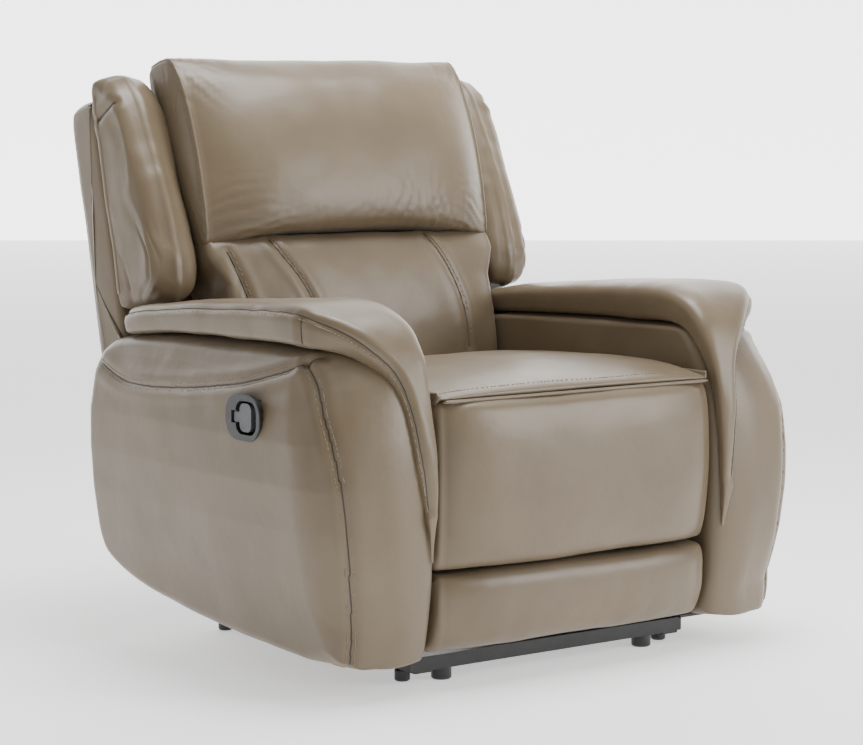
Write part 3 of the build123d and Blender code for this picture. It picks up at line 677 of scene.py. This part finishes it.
def make_pad(side):
    sign = -1 if side == "left" else 1
    path = smooth_curve(PAD_PATH, 170)
    tangent = np.gradient(path[:, :2], axis=0)
    tangent /= np.linalg.norm(tangent, axis=1)[:, None]
    out = np.stack([tangent[:, 1], -tangent[:, 0]], axis=1)
    ang = np.linspace(0, 2 * math.pi, 72, endpoint=False)
    ca, sa = np.cos(ang), np.sin(ang)
    shape_x = np.sign(ca) * np.abs(ca) ** 0.50
    shape_h = np.where(sa > 0, np.abs(sa) ** 0.62, -np.abs(sa) ** 0.25)
    rings = []
    total = len(path)
    for i, (y, z, h, x0, x1) in enumerate(path):
        end = min(1.0, (i + 0.6) / 7.0) ** 0.5 * min(1.0, (total - i - 0.4) / 12.0) ** 0.5
        w = (x1 - x0) / 2
        up = 0.5 * h + 0.5 * h * shape_h * end
        x = (x0 + x1) / 2 + w * shape_x * (1 - (1 - end) * 0.5)
        pts = np.stack([sign * x, y + out[i, 0] * up, z + out[i, 1] * up], axis=1)
        rings.append(pts)
    pad = rings_object(f"arm_pad_leather_{side}", rings, HIDE)
    ripple(pad, 0.0030, 0.11, 31.0 + sign)
    return pad, path, out


pads = {}
for side in ("left", "right"):
    pad, path, out = make_pad(side)
    sign = -1 if side == "left" else 1
    rows = []
    edge_pts, mid_pts = [], []
    for (y, z, h, x0, x1), n in zip(path[6:-14], out[6:-14]):
        edge_pts.append((sign * (x1 - 0.004), y + n[0] * h * 0.80, z + n[1] * h * 0.80))
    hit, normal = nearest_on(pad, np.array(edge_pts))
    groove(pad, hit, 0.0026, 0.0050)
    rows.append(nearest_on(pad, offset_line(hit, normal, sign * 0.006), 0.0002))
    cross = path[np.argmin(np.abs(path[:, 0] + 0.345) + np.abs(path[:, 1] - 0.556))]
    line = np.array([(sign * x, cross[0], cross[1] + h) for x,
        h in [(cross[4] + 0.004, 0.004), (cross[4] + 0.002, cross[2] * 0.75)]])
    hit, normal = nearest_on(pad, resample(line, 12))
    groove(pad, hit, 0.0020, 0.0045)
    thread = stitches(f"pad_stitching_{side}", rows)
    pads[side] = (pad, thread)

# wings
wing_outline = [(0.045, 0.092), (0.010, 0.086), (-0.030, 0.085), (-0.056, 0.089), (-0.072, 0.103),
    (-0.081, 0.135), (-0.082, 0.18),
                (-0.075, 0.25), (-0.060, 0.33), (-0.040, 0.41), (-0.022, 0.462), (0.001, 0.494),
                (0.028, 0.507), (0.046, 0.501),
                (0.054, 0.475), (0.055, 0.40), (0.055, 0.25), (0.052, 0.14)]


def make_wing(side):
    sign = -1 if side == "left" else 1

    def place(x, n, t):
        return back_place(sign * x, n, t)

    def reach(r):
        rear = np.clip((r[:, 0] - 0.02) / 0.025, 0, 1)
        return 0.036 * (1 - rear) + 0.007 * rear

    wing = slab(f"wing_leather_{side}", wing_outline, (-0.012, 0.27), lambda n, t: np.full(len(n), 0.3245),
                lambda n, t: np.full(len(n), 0.4230), place, reach, reach, cols=260, rings=30)
    ripple(wing, 0.0034, 0.09, 41.0 + sign)
    for t in (0.12, 0.16):
        c = back_place(np.array([sign * 0.42]), np.array([-0.04]), np.array([t]))[0]
        wrinkles(wing, c, (0, 0.3, 1), 0.05, 0.0030, 0.015, 6.0 + t)
    cap = back_place(np.full(30, sign * 0.42), np.linspace(0.044, -0.020, 30),
        np.linspace(0.432, 0.452, 30))
    groove(wing, nearest_on(wing, cap)[0], 0.0030, 0.005)
    t = np.linspace(0.115, 0.480, 90)
    line = nearest_on(wing, back_place(np.full(90, sign * 0.424), np.full(90, 0.046), t), -0.0010)[0]
    welt = tube(f"wing_welt_{side}", line, 0.0036, WELT)
    return wing, welt


wings = {side: make_wing(side) for side in ("left", "right")}

# welts of the head cushion's ends
head_welts = []
for sign, side in ((-1, "left"), (1, "right")):
    s = head_shape(smooth_curve(head_outline, 240, closed=True), 1.0)
    s = s[(s[:, 0] < 0.015)]
    order = np.argsort(np.arctan2(s[:, 1] - 0.36, -(s[:, 0] - 0.03)))
    s = s[order]
    pts = back_place(np.full(len(s), sign * 0.3155), s[:, 0], s[:, 1])
    hit, normal = nearest_on(head, pts, -0.0008)
    head_welts.append(tube(f"head_welt_{side}", resample(hit, 150), 0.0030, HIDE))

# ---------------------------------------------------------------- which body each piece rides on
for side in ("left", "right"):
    finish_piece(arms[side][0], "base", [f"arm_upholstery_{side}"])
    finish_piece(arms[side][1], "base")
    finish_piece(pads[side][0], "base", [f"arm_pad_{side}"])
    finish_piece(pads[side][1], "base")
    finish_piece(wings[side][0], "back", [f"back_wing_{side}"])
    finish_piece(wings[side][1], "back")
finish_piece(head, "back", ["head_cushion"])
finish_piece(lumbar, "back", ["lumbar_cushion"])
finish_piece(shell, "back", ["outer_back", "back_side_left", "back_side_right", "back_top_band"])
finish_piece(seat, "seat", ["seat_cushion"])
finish_piece(footrest_pad, "footrest", ["footrest_pad"])
finish_piece(toe_pad, "footrest", ["footrest_toe_pad"])
finish_piece(knee_web, "seat")
for o in head_welts + [lumbar_stitch]:
    finish_piece(o, "back")
finish_piece(seat_stitch, "seat")

# a thin dark line in every seam, painted shade of the seam's crease, which rides on its piece's body
SEAM_RADIUS = 0.0012
SEAM_LIFT = -0.0003
homes = {"arm": "base", "wing": "back", "lumbar": "back", "head": "back", "seat": "seat"}
for k, (owner, line) in enumerate(SEAM_LINES):
    where = nearest_on(owner, resample(line, 120), SEAM_LIFT)[0]
    seam = tube(f"seam_{k:02d}", where, SEAM_RADIUS, SEAM_SHADE, sides=6)
    finish_piece(seam, homes[owner.name.split("_")[0]])

# ---------------------------------------------------------------- floor, light and camera
floor_material, tree, p = new_material("floor", (0.93, 0.93, 0.93, 1.0), 0.85)
p.inputs["Specular IOR Level"].default_value = 0.1
p.inputs["Emission Color"].default_value = (1.0, 1.0, 1.0, 1.0)
p.inputs["Emission Strength"].default_value = 0.62
floor = mesh_object("floor", [(-30, -30, 0), (30, -30, 0), (30, 30, 0), (-30, 30, 0)], [(0, 1, 2, 3)],
    floor_material)
backdrop_material, tree, p = new_material("backdrop", (0.95, 0.95, 0.95, 1.0), 0.9)
p.inputs["Emission Color"].default_value = (1.0, 1.0, 1.0, 1.0)
p.inputs["Emission Strength"].default_value = 2.8
away = np.array([2.858, 3.769]) / np.hypot(2.858, 3.769)
wide = np.array([-away[1], away[0]])
BACKDROP_AWAY, BACKDROP_HALF, BACKDROP_LOW, BACKDROP_HIGH = 14, 22, -0.5, 14
feet = [away * BACKDROP_AWAY + wide * k for k in (-BACKDROP_HALF, BACKDROP_HALF)]
corners = [(*feet[0], BACKDROP_LOW), (*feet[1], BACKDROP_LOW),
           (*feet[1], BACKDROP_HIGH), (*feet[0], BACKDROP_HIGH)]
backdrop = mesh_object("backdrop", corners, [(0, 1, 2, 3)], backdrop_material)

world = bpy.data.worlds.new("studio")
scene.world = world
world.use_nodes = True
world.node_tree.nodes["Background"].inputs["Color"].default_value = (1.0, 1.0, 1.0, 1.0)
world.node_tree.nodes["Background"].inputs["Strength"].default_value = 0.52


def area_light(name, place, target, size, power, color=(1, 1, 1)):
    data = bpy.data.lights.new(name, "AREA")
    data.shape = "RECTANGLE"
    data.size, data.size_y = size
    data.energy = power
    data.color = color
    o = bpy.data.objects.new(name, data)
    o.location = place
    o.rotation_euler = (Vector(target) - Vector(place)).to_track_quat("-Z", "Y").to_euler()
    scene.collection.objects.link(o)
    return o


area_light("top_softbox", (0.3, -0.2, 2.9), (0, 0, 0.6), (1.5, 1.5), 95)
area_light("front_softbox", (2.4, -3.4, 1.7), (0, -0.2, 0.5), (1.4, 2.0), 105)
area_light("left_softbox", (-3.6, 1.0, 1.7), (0, 0, 0.5), (1.2, 2.0), 8)

camera_data = bpy.data.cameras.new("camera")
camera = bpy.data.objects.new("camera", camera_data)
scene.collection.objects.link(camera)
scene.camera = camera
camera_data.sensor_width = 36.0
camera_data.lens = 36.0 * 2645.8 / 863.0
camera.location = (-2.81716, -3.76864, 0.93340)
aim = Vector((0.0408, 0.0, 0.4597)) - camera.location
camera.rotation_euler = aim.to_track_quat("-Z", "Y").to_euler()
